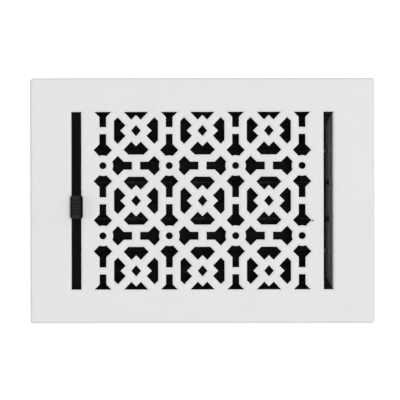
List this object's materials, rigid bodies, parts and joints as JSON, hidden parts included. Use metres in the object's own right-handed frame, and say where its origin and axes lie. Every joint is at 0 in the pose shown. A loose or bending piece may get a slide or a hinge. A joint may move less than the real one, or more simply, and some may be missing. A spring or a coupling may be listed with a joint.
{
  "type": "vent register",
  "caption": "Rectangular vent register: a white pierced lattice face with an end slot on each side over a black damper box with two opposed louvers worked by a sliding thumb knob.",
  "frame": {"origin": "centre of the bounding box's bottom, on the plane of the box's lower edges", "axes": "+Z out of the face, +X along the face's length away from the knob, +Y across the face"},
  "size_m": [0.349, 0.2486, 0.0634],
  "materials": {
    "face_paint": "white satin powder coat on steel sheet",
    "box_paint": "black paint on steel sheet",
    "end_coating": "dull grey coating on steel sheet",
    "louver_paint": "black paint on steel sheet",
    "drive_paint": "black paint on steel",
    "knob_plastic": "moulded black plastic",
    "bush_nylon": "moulded black nylon",
    "rod_steel": "drawn steel rod, blackened",
    "spring_steel": "spring steel strip",
    "fastener_steel": "zinc-plated steel"
  },
  "bodies": {
    "frame": {"faceplate": "face_paint", "side_panel_front": "box_paint", "side_panel_rear": "box_paint", "end_panel_left": "end_coating", "end_panel_right": "end_coating", "corner_rivets": "fastener_steel", "bush_front_left": "bush_nylon", "bush_front_right": "bush_nylon", "bush_rear_left": "bush_nylon", "bush_rear_right": "bush_nylon"},
    "front_louver": {"louver_front": "louver_paint", "pivot_rod_front": "rod_steel", "rod_clips_front": "fastener_steel", "crank_front": "drive_paint", "crank_pin_front": "fastener_steel"},
    "rear_louver": {"louver_rear": "louver_paint", "pivot_rod_rear": "rod_steel", "rod_clips_rear": "fastener_steel", "crank_rear": "drive_paint", "crank_pin_rear": "fastener_steel"},
    "slide": {"damper_slide": "drive_paint", "slot_cover": "drive_paint", "thumb_knob": "knob_plastic", "leaf_spring": "spring_steel", "spring_rivet": "fastener_steel"}
  },
  "joints": [
    {"name": "front_louver_hinge", "type": "hinge", "parent": "frame", "child": "front_louver", "pos_m": [0, -0.019, 0.02], "axis": [1, 0, 0], "range_deg": [0, 90]},
    {"name": "rear_louver_hinge", "type": "hinge", "parent": "frame", "child": "rear_louver", "pos_m": [0, 0.019, 0.02], "axis": [-1, 0, 0], "range_deg": [0, 90]},
    {"name": "knob_slide", "type": "slide", "parent": "frame", "child": "slide", "axis": [0, 1, 0], "range_m": [0, 0.01273]}
  ],
  "couplings": [
    {"joint": "rear_louver_hinge", "follows": "front_louver_hinge", "ratio": 1},
    {"joint": "knob_slide", "follows": "front_louver_hinge", "m_per_rad": 0.0081028}
  ]
}
